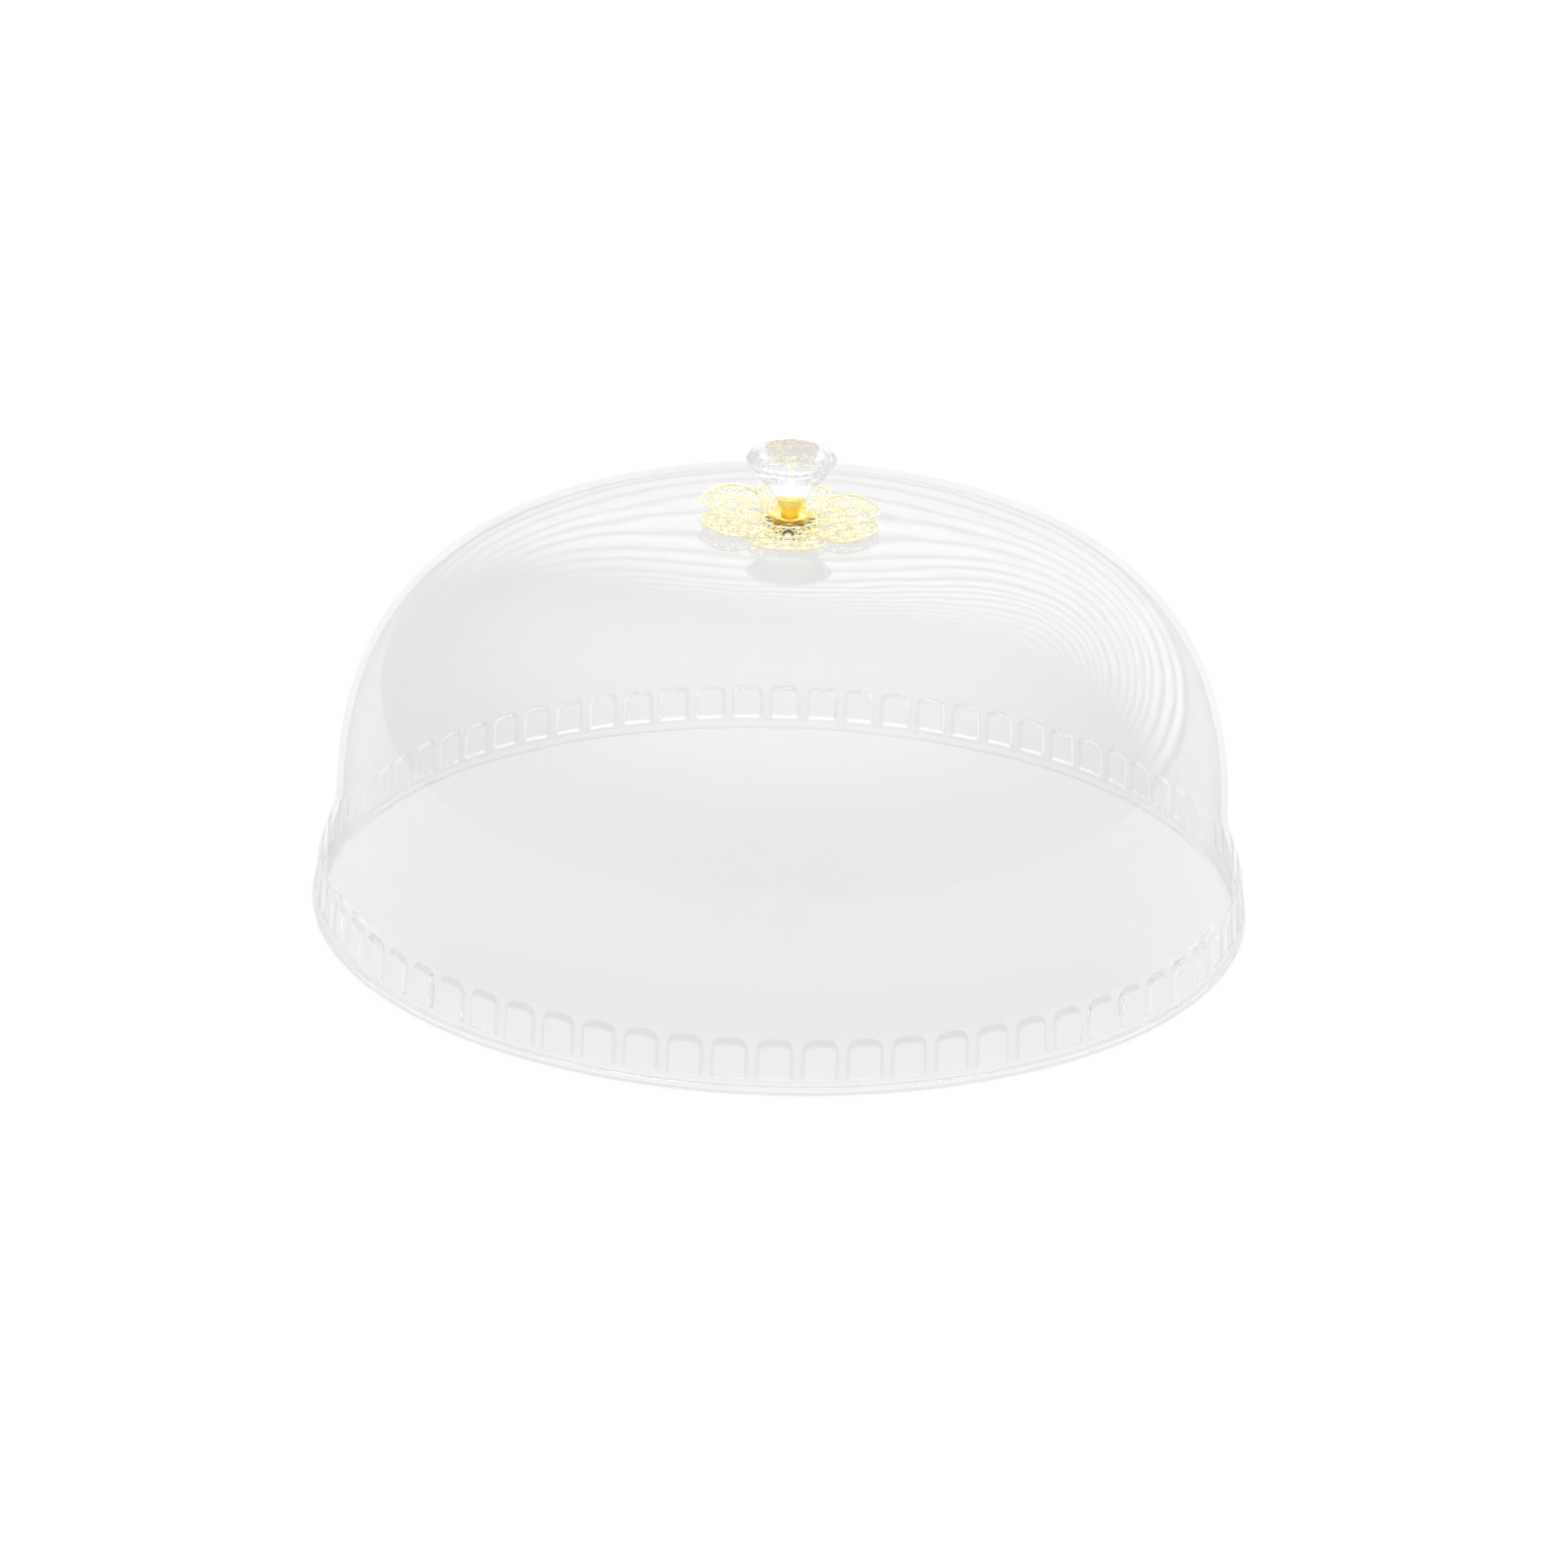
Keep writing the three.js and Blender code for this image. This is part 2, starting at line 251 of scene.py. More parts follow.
def plastic_tone_with_painted_shade(tree):
    """The plastic's tint with the painted shade and painted light from the mesh's attribute, greyer where
    the wall is seen edge on.
    """
    shade = tree.node("Attribute", {"attribute_name": "shade"}, output="Fac")
    stops = [(0, FLAT_FACE_PAINTED_LIGHT), (0.5, PLAIN_WALL), (1, STEEP_SLOPE_PAINTED_SHADE)]
    painted_tone = tree.node("ValToRGB", {"stops": stops}, {"Fac": 0.5 + 0.5 * shade})
    edge_on = tree.math("POWER", tree.slant(), EDGE_ON_POWER)
    # sockets 6 and 7 of a Mix node are the two colours that it mixes, and its output 2 is the mixed one
    return tree.node("Mix", {"data_type": "RGBA"}, {"Factor": edge_on, 6: painted_tone, 7: SEEN_EDGE_ON}, output=2)


clear_plastic = new_finish(
    "clear_plastic",
    {"Transmission Weight": 1.0, "IOR": 1.49},
    colour=plastic_tone_with_painted_shade,
    roughness=lambda tree: 0.01 + 0.03 * tree.noise(14),
    grain=(9, 3, 0.0006),
    film=(0.925, 0.925, 0.925),
    moulded=True,
)

# %% The crystal
FACET_TONE, FACET_EDGE_TONE = (0.93, 0.93, 0.95), (0.62, 0.62, 0.66)


def crystal_tone(tree):
    """Nearly white, and greyer where a facet is seen edge on."""
    stops = [(0.1, FACET_TONE), (0.8, FACET_EDGE_TONE)]
    return tree.node("ValToRGB", {"stops": stops}, {"Fac": tree.slant()})


cut_crystal = new_finish(
    "cut_crystal",
    {"Transmission Weight": 1.0, "IOR": 1.53},
    colour=crystal_tone,
    roughness=lambda tree: 0.02 * tree.noise(120),
    film=(0.9, 0.9, 0.92),
)

# %% [markdown]
# ## Gold, steel and silicone
#
# The gold parts are plated: the base metal's fine grain shows through as a change of gloss and of tone.
# The post and rosette are a deep polished gold, and the flower a paler one. The steel is zinc plated and
# cloudy, and the silicone washers are milky and soft.

# %% The metals and the silicone
def tones(low, high, scale):
    """A colour that drifts between two tones."""
    stops = [(0.3, low), (0.7, high)]
    return lambda tree: tree.node("ValToRGB", {"stops": stops}, {"Fac": tree.noise(scale, detail=4)})


deep_gold = new_finish(
    "deep_gold",
    {"Metallic": 1.0},
    colour=tones((0.96, 0.68, 0.14), (1.0, 0.84, 0.3), 260),
    roughness=lambda tree: 0.1 + 0.16 * tree.noise(420, detail=4),
    grain=(2600, 2, 0.00002),
)
pale_gold = new_finish(
    "pale_gold",
    {"Metallic": 1.0},
    colour=tones((1.0, 0.86, 0.42), (1.0, 0.95, 0.72), 200),
    roughness=lambda tree: 0.16 + 0.2 * tree.noise(380, detail=4),
    grain=(1800, 2, 0.00003),
)
zinc_steel = new_finish(
    "zinc_steel",
    {"Metallic": 1.0},
    colour=tones((0.55, 0.56, 0.58), (0.74, 0.75, 0.76), 300),
    roughness=lambda tree: 0.2 + 0.25 * tree.noise(500, detail=4),
    grain=(2400, 2, 0.00002),
)
milky_silicone = new_finish(
    "milky_silicone",
    {"Transmission Weight": 0.7, "IOR": 1.41},
    colour=tones((0.86, 0.87, 0.87), (0.95, 0.96, 0.96), 240),
    roughness=lambda tree: 0.35 + 0.25 * tree.noise(600),
)

# %% [markdown]
# ## Helpers that shape and place a piece
#
# Most of the pieces are turned, so a half outline is spun round the axis. Sharp edges then get a small
# bevel, because no moulded, cut or plated edge is perfectly sharp, and the bevel is what catches the
# light. All sizes are in millimetres, and become metres only where a corner is set.

# %% Turning, repeating and rounding
MM = 0.001
AXIS = Vector((0, 0, 1))


def turned(outline, steps, closed=False, angle=2 * math.pi):
    """A bmesh spun round the Z axis from an outline of (radius, height)."""
    bm = bmesh.new()
    points = [bm.verts.new((0, -radius * MM, height * MM)) for radius, height in outline]
    pairs = list(zip(points, points[1:])) + ([(points[-1], points[0])] if closed else [])
    edges = [bm.edges.new(pair) for pair in pairs]
    whole = angle == 2 * math.pi
    bmesh.ops.spin(
        bm, geom=points + edges, cent=(0, 0, 0), axis=AXIS, angle=angle, steps=steps, use_merge=whole
    )
    bmesh.ops.remove_doubles(bm, verts=bm.verts, dist=1e-7)
    bmesh.ops.recalc_face_normals(bm, faces=bm.faces)
    return bm


def repeat(bm, count):
    """Repeats the mesh `count` times round the Z axis, welded where the copies meet."""
    bmesh.ops.spin(
        bm, geom=bm.verts[:] + bm.edges[:] + bm.faces[:], cent=(0, 0, 0), axis=AXIS,
        angle=2 * math.pi * (count - 1) / count, steps=count - 1, use_duplicate=True,
    )
    bmesh.ops.remove_doubles(bm, verts=bm.verts, dist=1e-6)


def soften(bm, width, sharper_than, segments=2):
    """Bevels every edge whose faces turn by more than an angle in degrees."""
    limit = math.radians(sharper_than)
    sharp = [edge for edge in bm.edges if edge.is_manifold and edge.calc_face_angle() > limit]
    bmesh.ops.bevel(
        bm, geom=sharp, offset=width * MM, segments=segments, profile=0.5, affect="EDGES", material=-1,
        clamp_overlap=True,
    )


# %% [markdown]
# The last helper hands a finished mesh to the scene: it stands on the foot of its CAD node's box, rides
# on the CAD body and takes the node's place.

# %% Placing
def mesh_of(name, bm):
    """The bmesh as a mesh. The bmesh itself is freed."""
    mesh = bpy.data.meshes.new(name)
    bm.to_mesh(mesh)
    bm.free()
    return mesh


def place(name, bm, finish, node, crease=35):
    """Makes the bmesh an object that stands for a CAD node. Edges sharper than the crease stay sharp."""
    low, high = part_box(node)
    bmesh.ops.translate(bm, verts=bm.verts, vec=(0, 0, low.z))
    mesh = mesh_of(name, bm)
    mesh.shade_smooth()
    mesh.set_sharp_from_angle(angle=math.radians(crease))
    mesh.materials.append(finish)
    piece = linked(name, mesh)
    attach(piece, "root")
    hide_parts(node)
    mine = [tuple(round(value / MM, 1) for value in piece.bound_box[corner]) for corner in (0, 6)]
    cad = [tuple(round(value / MM, 1) for value in corner) for corner in (low, high)]
    print("%s: %d faces, box %s to %s, CAD %s to %s" % (name, len(mesh.polygons), *mine, *cad))


# %% [markdown]
# ## The dome's wall
#
# The wall is a turned shape with an outside and an inside, one wall's thickness apart: a rounded square
# of two powers for the crown and shoulder, a short bend, a straight flare, and the band. A sphere or a
# simple arc would miss the flat crown and the upright side. Each curve is divided by its length and its
# turning together, so the rows lie closer where it bends.

# %% Sizes of the wall, and its curves
CROWN_HEIGHT, WALL_RADIUS, WALL = 125.5, 142.2, 2.2
SHOULDER_FOOT, SIDE_POWER, CROWN_POWER = 27.5, 3.36, 2.52
FLARE_HEIGHT, FLARE_BEND = 31.3, 3.7
BAND_TOP, BAND_TOP_RADIUS, BAND_FOOT_RADIUS = 17, 146.8, 148
RIM_THICKNESS = 2.6
RIM_RADIUS = min(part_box("dome_cover")[1].xy) / MM
# round the screw the crown is flat: the hole, one row more, and the edge of the seat
SCREW_HOLE, SEAT_ROW, SEAT_RADIUS = 2.4, 7, 12


def evened(points, steps, bend_length=60):
    """The line in new steps, as if each radian of turning were `bend_length` more of its length."""
    points = [Vector(point) for point in points]
    travelled = [0.0]
    for index in range(1, len(points)):
        step = points[index] - points[index - 1]
        turn = step.angle(points[index - 1] - points[index - 2]) if index > 1 else 0
        travelled.append(travelled[-1] + step.length / bend_length + turn)
    rows, index = [points[0]], 1
    for row in range(1, steps):
        goal = travelled[-1] * row / steps
        while travelled[index] < goal:
            index += 1
        share = (goal - travelled[index - 1]) / (travelled[index] - travelled[index - 1])
        rows.append(points[index - 1].lerp(points[index], share))
    return rows + [points[-1]]


def shoulder_line(inset, samples=400):
    """The crown and shoulder, from the flat seat of the knob to the top of the flare's bend."""
    side = WALL_RADIUS - inset
    rise = CROWN_HEIGHT - inset - SHOULDER_FOOT
    first = math.asin((SEAT_RADIUS / side) ** (SIDE_POWER / 2))
    last = math.acos(((FLARE_HEIGHT + FLARE_BEND - SHOULDER_FOOT) / rise) ** (CROWN_POWER / 2))
    line = []
    for step in range(samples + 1):
        angle = first + (last - first) * (step / samples) ** 2
        height = SHOULDER_FOOT + rise * math.cos(angle) ** (2 / CROWN_POWER)
        line.append((side * math.sin(angle) ** (2 / SIDE_POWER), height))
    return line


def flare_bend(inset, steps):
    """The soft corner between the upright wall and the flare."""
    corner = Vector((WALL_RADIUS - inset, FLARE_HEIGHT))
    below = Vector((BAND_TOP_RADIUS - inset, BAND_TOP))
    start = corner + Vector((0, FLARE_BEND))
    end = corner + (below - corner).normalized() * FLARE_BEND
    shares = [step / steps for step in range(1, steps + 1)]
    return [start.lerp(corner, share).lerp(corner.lerp(end, share), share) for share in shares]


# %% Draw the wall's two lines
def wall_line(inset, shoulder_steps, bend_steps):
    """The line from the screw's hole down to the flare, on the outside or an inset from it."""
    seat = [(radius, CROWN_HEIGHT - inset) for radius in (SCREW_HOLE, SEAT_ROW)]
    return seat + evened(shoulder_line(inset), shoulder_steps) + flare_bend(inset, bend_steps)


outside = wall_line(0, 34, 5)
inside = wall_line(WALL, 22, 3)
print("rows outside and inside:", len(outside), len(inside))

# %% [markdown]
# ## The band and its flutes
#
# The flutes are 70 arched pads, moulded in one with the band. They could be separate pads set on it, but
# then the clear plastic would show the seams. So one 70th of the dome is spun, in columns that lie
# closest where a flute's sides slope. The smooth crown above needs only a few of them, so there the rest
# are dissolved again.

# %% Sizes of the band, and the columns and rows of its mesh
FLUTES = 70
FLUTE_FOOT, FLUTE_RISE, FLUTE_ARCH, ARCH_POWER = 4, 1.1, 4.4, 2.6
HALF_GAP = 0.85
HALF_PITCH = math.pi * BAND_TOP_RADIUS / FLUTES
HALF_FLUTE = HALF_PITCH - HALF_GAP
# from the middle of a flute to the middle of the gap, and which of them go on above the band
COLUMN_PLACES = [0, 1.2, 2.4, 3.3] + [3.8 + 0.25 * step for step in range(8)]
COLUMN_PLACES += [HALF_FLUTE, 6.15, HALF_PITCH]
KEPT_COLUMNS = (0, 2, 6, len(COLUMN_PLACES) - 1)
# the heights of the rows, down the outside and up the inside
BAND_ROWS = [BAND_TOP + 0.7] + [BAND_TOP - 0.5 * step for step in range(16)]
BAND_ROWS += [8, 6.5, 5.2, 4.7, 4.3, FLUTE_FOOT, 3.4]
INNER_BAND_ROWS = [1, 8, 16, BAND_TOP, BAND_ROWS[0]]
# how far a corner may be from a row's height and still count as in it
ROW_SLACK = 0.1


def band_radius(height):
    """The radius of the flare's outer face, and below it that of the band's."""
    if height > BAND_TOP:
        share = (height - BAND_TOP) / (FLARE_HEIGHT - BAND_TOP)
        return BAND_TOP_RADIUS + share * (WALL_RADIUS - BAND_TOP_RADIUS)
    share = (BAND_TOP - height) / (BAND_TOP - RIM_THICKNESS)
    return BAND_TOP_RADIUS + share * (BAND_FOOT_RADIUS - BAND_TOP_RADIUS)


def on_band(vert):
    """Whether a corner is on the outer face of the band, where the flutes are."""
    radius, height = vert.co.xy.length / MM, vert.co.z / MM
    among_rows = BAND_ROWS[-1] - ROW_SLACK < height < BAND_ROWS[0] + ROW_SLACK
    return among_rows and radius > band_radius(height) - WALL / 2


# %% Spin one slice of the dome
rim_edge = [
    (BAND_FOOT_RADIUS, RIM_THICKNESS),
    (RIM_RADIUS, RIM_THICKNESS),
    (RIM_RADIUS, 0),
    (BAND_FOOT_RADIUS - WALL, 0),
]
band = [(band_radius(height), height) for height in BAND_ROWS]
inner_band = [(band_radius(height) - WALL, height) for height in INNER_BAND_ROWS]
pitch = 2 * math.pi / FLUTES
columns = 2 * len(COLUMN_PLACES) - 2
dome = turned(outside + band + rim_edge + inner_band + inside[::-1], columns, closed=True, angle=pitch)


def column_of(vert):
    """The column that a corner stands in, counted from the middle of the slice."""
    return round((math.atan2(vert.co.x, -vert.co.y) / pitch - 0.5) * columns)


spare_edges = [
    edge for edge in dome.edges
    if column_of(edge.verts[0]) == column_of(edge.verts[1])
    and abs(column_of(edge.verts[0])) not in KEPT_COLUMNS
    and not all(on_band(vert) for vert in edge.verts)
]
faces_before = len(dome.faces)
bmesh.ops.dissolve_edges(dome, edges=spare_edges, use_verts=True)
print("faces in the slice: %d, then %d" % (faces_before, len(dome.faces)))

# %% [markdown]
# The slice's outer face is now pushed out by a smooth height: a pad that slopes gently at its arched top,
# more steeply at its sides and sharply at its foot, and is a little fuller along its middle. The same
# slopes give each corner its painted shade, a darker colour: full at the top, half at the sides and none
# at the foot. The pad's flat face and the rim get painted light, a lighter colour than the plain wall, so
# theirs is below 0.

# %% The height and the painted shade of a flute
SIDE_SLOPE, TOP_SLOPE, FOOT_SLOPE, FULLNESS = 1.9, 3.0, 0.8, 0.25
# painted shade on a flute's side and top slopes, and painted light on its flat face and on the rim
SIDE_PAINTED_SHADE, TOP_PAINTED_SHADE, FACE_PAINTED_LIGHT, RIM_PAINTED_LIGHT = 0.5, 1, -0.35, -1
# the shares of the rise where the slope's painted shade is full, and where the face's painted light starts
# and is full
SLOPE_FULL, FACE_START, FACE_FULL = 0.05, 0.7, 0.97


def smooth(value):
    """A soft step from 0 to 1."""
    value = min(max(value, 0), 1)
    return value * value * (3 - 2 * value)


def flute(side, height):
    """How far a flute stands out from the band, and its painted shade or light, this far to the side and
    this high up.
    """
    if abs(side) >= HALF_FLUTE:
        return 0, 0
    share = abs(side) / HALF_FLUTE
    top = BAND_TOP - FLUTE_ARCH + FLUTE_ARCH * (1 - share ** ARCH_POWER) ** (1 / ARCH_POWER)
    at_side = smooth((HALF_FLUTE - abs(side)) / SIDE_SLOPE)
    at_top = smooth((top - height) / TOP_SLOPE)
    at_foot = smooth((height - FLUTE_FOOT) / FOOT_SLOPE)
    rise = at_side * at_top * at_foot
    sunk = max((1 - at_side) + (1 - at_top) + (1 - at_foot), 0.001)
    slope_painted_shade = (SIDE_PAINTED_SHADE * (1 - at_side) + TOP_PAINTED_SHADE * (1 - at_top)) / sunk
    on_face = smooth((rise - FACE_START) / (FACE_FULL - FACE_START))
    # the slopes get painted shade, and the flat face of the pad painted light
    painted_tone = slope_painted_shade * smooth(rise / SLOPE_FULL) * (1 - on_face) + FACE_PAINTED_LIGHT * on_face
    return FLUTE_RISE * (1 - FULLNESS * share * share) * rise, painted_tone


# %% [markdown]
# Each corner moves to its column's true place, and then out by the flute's height, square to the band's
# leaning face. Then the slice is repeated 70 times round the axis and welded, as the mould was cut.

# %% Press out the flute and repeat the slice
lean = math.atan2(BAND_FOOT_RADIUS - BAND_TOP_RADIUS, BAND_TOP - RIM_THICKNESS)
# each corner's painted light and shade, kept on the mesh for the plastic's colour
shade = dome.verts.layers.float.new("shade")
for vert in dome.verts:
    column, radius, height = column_of(vert), vert.co.xy.length / MM, vert.co.z / MM
    side = math.copysign(COLUMN_PLACES[abs(column)], column)
    if on_band(vert):
        rise, vert[shade] = flute(side, height)
        radius += rise * math.cos(lean)
        height += rise * math.sin(lean)
    elif height < BAND_ROWS[-1]:
        # the rim below the flutes gets painted light, a lighter colour than the plain wall
        vert[shade] = RIM_PAINTED_LIGHT
    angle = side / BAND_TOP_RADIUS
    vert.co = Vector((radius * math.sin(angle), -radius * math.cos(angle), height)) * MM
repeat(dome, FLUTES)
bmesh.ops.recalc_face_normals(dome, faces=dome.faces)
soften(dome, width=0.35, sharper_than=50, segments=3)
place("clear_dome", dome, clear_plastic, "dome_cover", crease=12)

# %% [markdown]
# ## The crystal knob
#
# Cut glass is flat facets that meet at polished edges. The rings of corners below are joined by one
# convex hull, which gives flat facets by itself, where drawing each facet would take a page. Facets in
# one plane are then dissolved into one face, the neck is extruded down, and a socket for the post is sunk
# into it. The socket is drawn a little tighter than the post, because glue fills the gap and lets light
# through as the crystal does.

# %% Join the rings of corners into facets
FACETS = 12
CRYSTAL_HEIGHT = 17.7
GIRDLE, GIRDLE_RADIUS = CRYSTAL_HEIGHT - 3.75, 14.3
NECK_RADIUS, NECK_LENGTH, SOCKET_RADIUS, SOCKET_DEPTH = 5.4, 1.6, 3.1, 4.1
# radius, height, corners, and the turn in shares of a facet
CUT_RINGS = [
    (8.8, CRYSTAL_HEIGHT, FACETS, 0),
    (12.6, CRYSTAL_HEIGHT - 1.2, FACETS, 0.5),
    (GIRDLE_RADIUS, GIRDLE + 0.35, FACETS * 2, 0),
    (GIRDLE_RADIUS, GIRDLE - 0.35, FACETS * 2, 0),
    (12.2, GIRDLE - 3.3, FACETS, 0.5),
    (9.2, GIRDLE - 7.5, FACETS, 0),
    (NECK_RADIUS, NECK_LENGTH, FACETS, 0),
]
crystal = bmesh.new()
for radius, height, corners, share in CUT_RINGS:
    ring_turn = Matrix.Rotation((share + FACETS / 4) * 2 * math.pi / corners, 4, "Z")
    where = Matrix.Translation((0, 0, height * MM)) @ ring_turn
    bmesh.ops.create_circle(crystal, segments=corners, radius=radius * MM, matrix=where)
bmesh.ops.convex_hull(crystal, input=crystal.verts)
loose = [edge for edge in crystal.edges if not edge.link_faces]
bmesh.ops.delete(crystal, geom=loose, context="EDGES")
bmesh.ops.dissolve_limit(crystal, angle_limit=math.radians(0.5), verts=crystal.verts, edges=crystal.edges)
bmesh.ops.recalc_face_normals(crystal, faces=crystal.faces)
print("faces before the neck is drawn out:", len(crystal.faces))


# %% Draw out the neck and sink the socket
def lowest_face(bm):
    """The face whose middle is lowest."""
    return min(bm.faces, key=lambda face: face.calc_center_median().z)


def extrude(bm, face, height):
    """Draws a face up or down, with new walls between its old place and the new one."""
    drawn = bmesh.ops.extrude_face_region(bm, geom=[face])["geom"]
    bmesh.ops.delete(bm, geom=[face], context="FACES_ONLY")
    corners = [part for part in drawn if isinstance(part, bmesh.types.BMVert)]
    bmesh.ops.translate(bm, verts=corners, vec=(0, 0, height * MM))


extrude(crystal, lowest_face(crystal), -NECK_LENGTH)
neck_foot = lowest_face(crystal)
bmesh.ops.inset_individual(crystal, faces=[neck_foot], thickness=(NECK_RADIUS - SOCKET_RADIUS) * MM)
extrude(crystal, neck_foot, SOCKET_DEPTH)
bmesh.ops.recalc_face_normals(crystal, faces=crystal.faces)
soften(crystal, width=0.12, sharper_than=3, segments=1)
place("cut_crystal_knob", crystal, cut_crystal, "crystal_knob", crease=1)

# %% [markdown]
# ## The post and the rosette
#
# The post is a plain turned rod, a little thicker at the top, with softened ends. The rosette at its foot
# is stamped sheet: a disc whose edge is drawn in and out into six lobes and curled up. It starts as a
# spun disc, because its rings and spokes are then already there to be moved.

# %% Turn the post
POST_LENGTH, POST_FOOT_RADIUS, POST_TOP_RADIUS, BORE_LENGTH = 8.4, 2.9, 3.3, 7
CHAMFER_WIDTH, CHAMFER_HEIGHT = 0.3, 0.4
post = turned(
    [
        (0, BORE_LENGTH),
        (SCREW_HOLE, BORE_LENGTH),
        (SCREW_HOLE, 0),
        (POST_FOOT_RADIUS, 0),
        (POST_TOP_RADIUS, POST_LENGTH - CHAMFER_HEIGHT),
        (POST_TOP_RADIUS - CHAMFER_WIDTH, POST_LENGTH),
        (0, POST_LENGTH),
    ],
    steps=72,
)
soften(post, width=0.2, sharper_than=20, segments=3)
place("gold_post", post, deep_gold, "knob_post")

# %% Shape the rosette
LOBES = 6
FLOWER_TURN = math.radians(-32)
CAP_FLAT, CAP_HUB, CAP_REACH, CAP_THICKNESS, CAP_CURL = 3.8, 4.6, 6.9, 0.8, 1.3
CAP_RINGS = [SCREW_HOLE, 3.1, CAP_FLAT, CAP_HUB, 5.2, 5.8, 6.4, 6.9, 7.3]
LOBE_POWER = 0.55
cap_turn = FLOWER_TURN + math.pi / LOBES
cap = turned([(radius, CAP_THICKNESS) for radius in CAP_RINGS], steps=144)
for vert in cap.verts:
    angle, radius = math.atan2(vert.co.y, vert.co.x), vert.co.xy.length / MM
    wave = abs(math.cos((angle - cap_turn) * LOBES / 2)) ** LOBE_POWER
    lobe_edge = CAP_HUB + (CAP_REACH - CAP_HUB) * wave
    share = max(radius - CAP_FLAT, 0) / (CAP_RINGS[-1] - CAP_FLAT)
    radius = min(radius, CAP_FLAT) + share * (lobe_edge - CAP_FLAT)
    lift = CAP_CURL * (max(radius - CAP_HUB, 0) / (CAP_REACH - CAP_HUB)) ** 2
    vert.co = Vector((radius * math.cos(angle), radius * math.sin(angle), CAP_THICKNESS + lift)) * MM
bmesh.ops.recalc_face_normals(cap, faces=cap.faces)
if sum(face.normal.z for face in cap.faces) < 0:
    bmesh.ops.reverse_faces(cap, faces=cap.faces)
bmesh.ops.solidify(cap, geom=cap.faces, thickness=CAP_THICKNESS * MM)
soften(cap, width=0.15, sharper_than=50)
place("gold_rosette", cap, deep_gold, "rosette_cap")

# %% [markdown]
# ## The filigree flower
#
# Filigree is fine wire, bent into scrolls and rings that touch and are soldered inside a frame. Holes cut
# in a plate would give flat, sharp webs, so this flower is drawn as the real one is made: one petal's
# wires are flat curves with a round bevel. They become a mesh, which is repeated six times round the
# axis, flattened a little and curled up at the petals' ends.

# %% Lines for wires to follow
def circle(out, side, radius, turns=1, start=0, end_radius=None, hand=1):
    """Points round a ring, or round a scroll that winds in to a smaller radius."""
    steps_in_turn = 18 if radius < 1 else 25.2
    count = max(12, round(steps_in_turn * turns))
    end_radius = radius if end_radius is None else end_radius
    points = []
    for step in range(count + (0 if turns == 1 else 1)):
        share = step / count
        angle = math.radians(start) + hand * 2 * math.pi * turns * share
        size = radius + (end_radius - radius) * share
        points.append((out + size * math.cos(angle), side + size * math.sin(angle)))
    return points


def bezier(corners, steps):
    """Points along a Bezier curve of any degree."""
    line = []
    for step in range(steps + 1):
        points = [Vector(corner) for corner in corners]
        while len(points) > 1:
            points = [a.lerp(b, step / steps) for a, b in zip(points, points[1:])]
        line.append(tuple(points[0]))
    return line


def mirrored(points):
    """The same line on the petal's other side."""
    return [(x, -y) for x, y in points]


# %% Wires along the lines
def evaluated(thing):
    """An object's mesh as a bmesh, with its bevel or modifiers carried out. The object is removed."""
    bpy.context.view_layer.update()
    mesh = bpy.data.meshes.new_from_object(thing.evaluated_get(bpy.context.evaluated_depsgraph_get()))
    bm = bmesh.new()
    bm.from_mesh(mesh)
    bpy.data.meshes.remove(mesh)
    bpy.data.objects.remove(thing)
    return bm


def wires(name, lines, wire_radius, sides=1):
    """Flat wires as a bmesh: each line is a pair of its points and whether it closes on itself."""
    curve = bpy.data.curves.new(name, "CURVE")
    curve.dimensions = "3D"
    curve.bevel_depth = wire_radius * MM
    curve.bevel_resolution = sides
    curve.use_fill_caps = True
    for points, closed in lines:
        spline = curve.splines.new("POLY")
        spline.points.add(len(points) - 1)
        for point, (x, y) in zip(spline.points, points):
            point.co = (x * MM, y * MM, 0, 1)
        spline.use_cyclic_u = closed
    bm = evaluated(linked(name, curve))
    bpy.data.curves.remove(curve)
    return bm


def joined(parts):
    """One bmesh with the geometry of several, which are freed."""
    whole = bmesh.new()
    for part in parts:
        mesh = mesh_of("part", part)
        whole.from_mesh(mesh)
        bpy.data.meshes.remove(mesh)
    return whole


# %% Sizes of the flower
HUB_RADIUS, PETAL_REACH, FLOWER_THICKNESS = 9, 29.5, 0.8
# how far the tip of each petal is curled up
PETAL_CURLS = (0.6, 1.5, 2.0, 3.8, 1.5, 0.0)
FRAME_WIRE, SCROLL_WIRE, HUB_WIRE, WIRE_FLATNESS = 0.38, 0.28, 0.33, 0.88
# the petal's frame leaves the hub this far to the side, and bends at these shares of the petal's reach
FRAME_START = math.radians(27)
FRAME_BENDS = [(0.74, 0.56), (1, 0.44), (1, 0)]
TEARDROP = [(9.2, 0), (13.5, 3.6), (18.6, 2.2), (17.4, 0)]
# centre out along the petal, centre to the side, radius, turns, and the angle where the scroll starts
SCROLLS = [
    (14.4, 5.1, 2.5, 1.6, 200),
    (19.9, 7.2, 3.2, 1.9, 215),
    (25.2, 5.3, 2.9, 1.7, 170),
]
SCROLL_EYE = 0.45
# centre out along the petal, centre to the side, radius
RINGS = [
    (20.0, 0, 2.9),
    (20.0, 0, 1.4),
    (26.0, 0, 2.4),
    (26.0, 0, 1.1),
    (15.6, 0, 0.85),
    (22.9, 2.9, 0.8),
    (17.0, 2.9, 0.8),
    (24.3, 9.2, 0.9),
    (16.2, 8.2, 0.8),
    (10.6, 3.1, 1.1),
    (11.9, 5.4, 0.7),
]
# the hub: a ring round its edge, small rings in a circle, and a disc under the rosette
HUB_EDGE, HUB_RING_CENTRE, HUB_RING = 8.7, 6.9, 1.5
DISC_RADIUS, DISC_FOOT, DISC_TOP = 5.6, 0.1, 0.7

